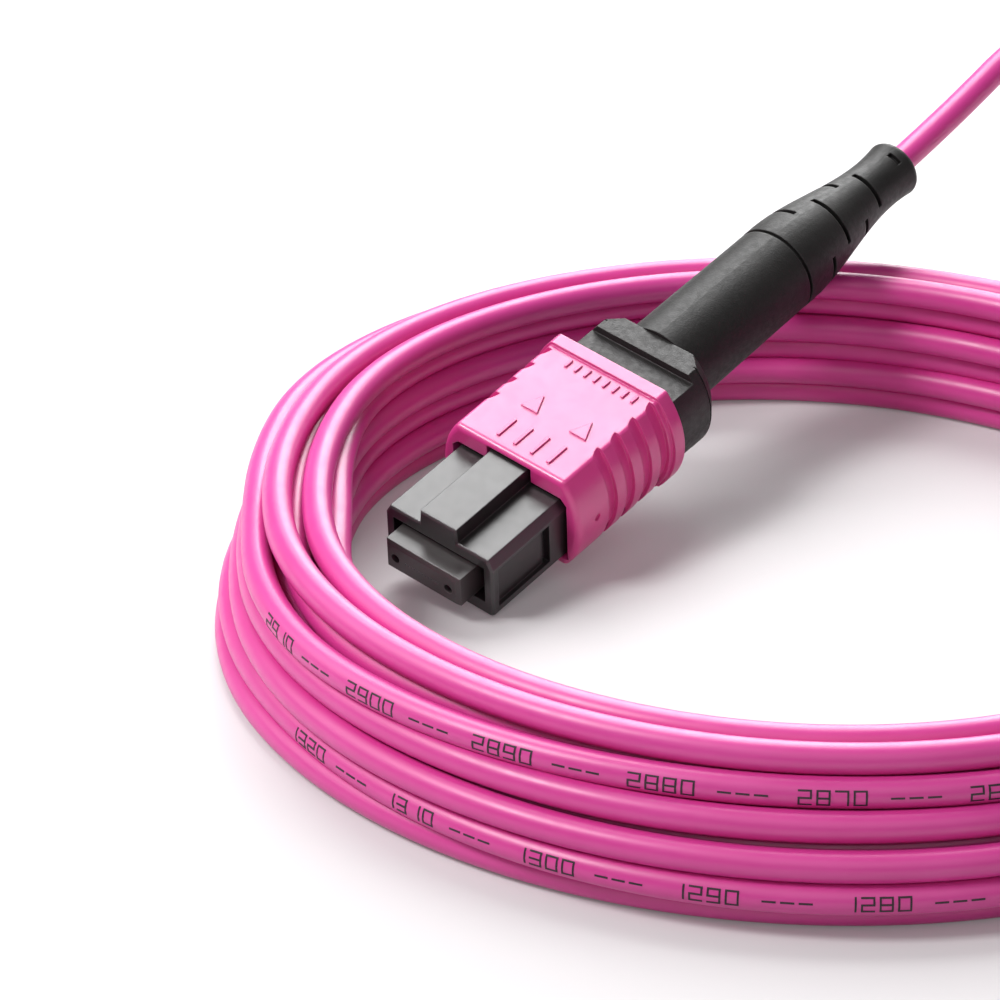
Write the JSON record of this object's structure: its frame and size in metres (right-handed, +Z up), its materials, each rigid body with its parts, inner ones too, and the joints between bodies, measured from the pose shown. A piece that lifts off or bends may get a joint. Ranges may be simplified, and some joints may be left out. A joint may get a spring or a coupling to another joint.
{
  "type": "multi-fibre patch cable",
  "caption": "Coiled fibre patch cable with a keyed multi-fibre plug at each end; each plug has a sprung pull sleeve, a sprung ferrule and a slotted rubber boot",
  "frame": {"origin": "bottom centre, on the floor, of the box that holds the two plugs without the free cable", "axes": "+Z up from the floor, +X to the right in the picture, +Y away from the camera"},
  "size_m": [0.0896, 0.1185, 0.0214],
  "materials": {
    "jacket_magenta": "smooth satin jacket",
    "sleeve_pink": "fine matt moulding",
    "housing_black": "fine matt moulding",
    "boot_black": "satin rubber",
    "ferrule_dark": "glass-filled, polished end face",
    "soft_black": "matt",
    "spring_steel": "drawn wire",
    "spacer_steel": "stamped",
    "crimp_metal": "turned and plated",
    "fibre_coating": "coated fibres"
  },
  "bodies": {
    "cable_with_housings": {"cable_coil": "jacket_magenta", "cable_lead_a": "jacket_magenta", "cable_lead_b": "jacket_magenta", "main_spring_a": "spring_steel", "inner_housing_a": "housing_black", "sleeve_spring_left_a": "spring_steel", "sleeve_spring_right_a": "spring_steel", "rear_body_a": "housing_black", "crimp_ring_a": "crimp_metal", "cable_end_a": "jacket_magenta", "boot_a": "boot_black", "main_spring_b": "spring_steel", "inner_housing_b": "housing_black", "sleeve_spring_left_b": "spring_steel", "sleeve_spring_right_b": "spring_steel", "rear_body_b": "housing_black", "crimp_ring_b": "crimp_metal", "cable_end_b": "jacket_magenta", "boot_b": "boot_black"},
    "pull_sleeve_a": {"sleeve_a": "sleeve_pink"},
    "sprung_ferrule_a": {"ferrule_a": "ferrule_dark", "ferrule_boot_a": "soft_black", "ferrule_spacer_a": "spacer_steel", "fibre_ribbon_a": "fibre_coating"},
    "pull_sleeve_b": {"sleeve_b": "sleeve_pink"},
    "sprung_ferrule_b": {"ferrule_b": "ferrule_dark", "ferrule_boot_b": "soft_black", "ferrule_spacer_b": "spacer_steel", "fibre_ribbon_b": "fibre_coating"}
  },
  "joints": [
    {"name": "sleeve_slide_a", "type": "slide", "parent": "cable_with_housings", "child": "pull_sleeve_a", "axis": [0.6422, 0.7233, 0.2538], "range_m": [0, 0.0015], "stiffness_N_per_m": 2000, "springref_m": -0.0008, "deforming": ["sleeve_spring_left_a", "sleeve_spring_right_a"]},
    {"name": "ferrule_slide_a", "type": "slide", "parent": "cable_with_housings", "child": "sprung_ferrule_a", "axis": [0.6422, 0.7233, 0.2538], "range_m": [0, 0.0008], "stiffness_N_per_m": 6000, "springref_m": -0.0008, "deforming": ["main_spring_a"]},
    {"name": "sleeve_slide_b", "type": "slide", "parent": "cable_with_housings", "child": "pull_sleeve_b", "axis": [0, 1, 0], "range_m": [0, 0.0015], "stiffness_N_per_m": 2000, "springref_m": -0.0008, "deforming": ["sleeve_spring_left_b", "sleeve_spring_right_b"]},
    {"name": "ferrule_slide_b", "type": "slide", "parent": "cable_with_housings", "child": "sprung_ferrule_b", "axis": [0, 1, 0], "range_m": [0, 0.0008], "stiffness_N_per_m": 6000, "springref_m": -0.0008, "deforming": ["main_spring_b"]}
  ]
}
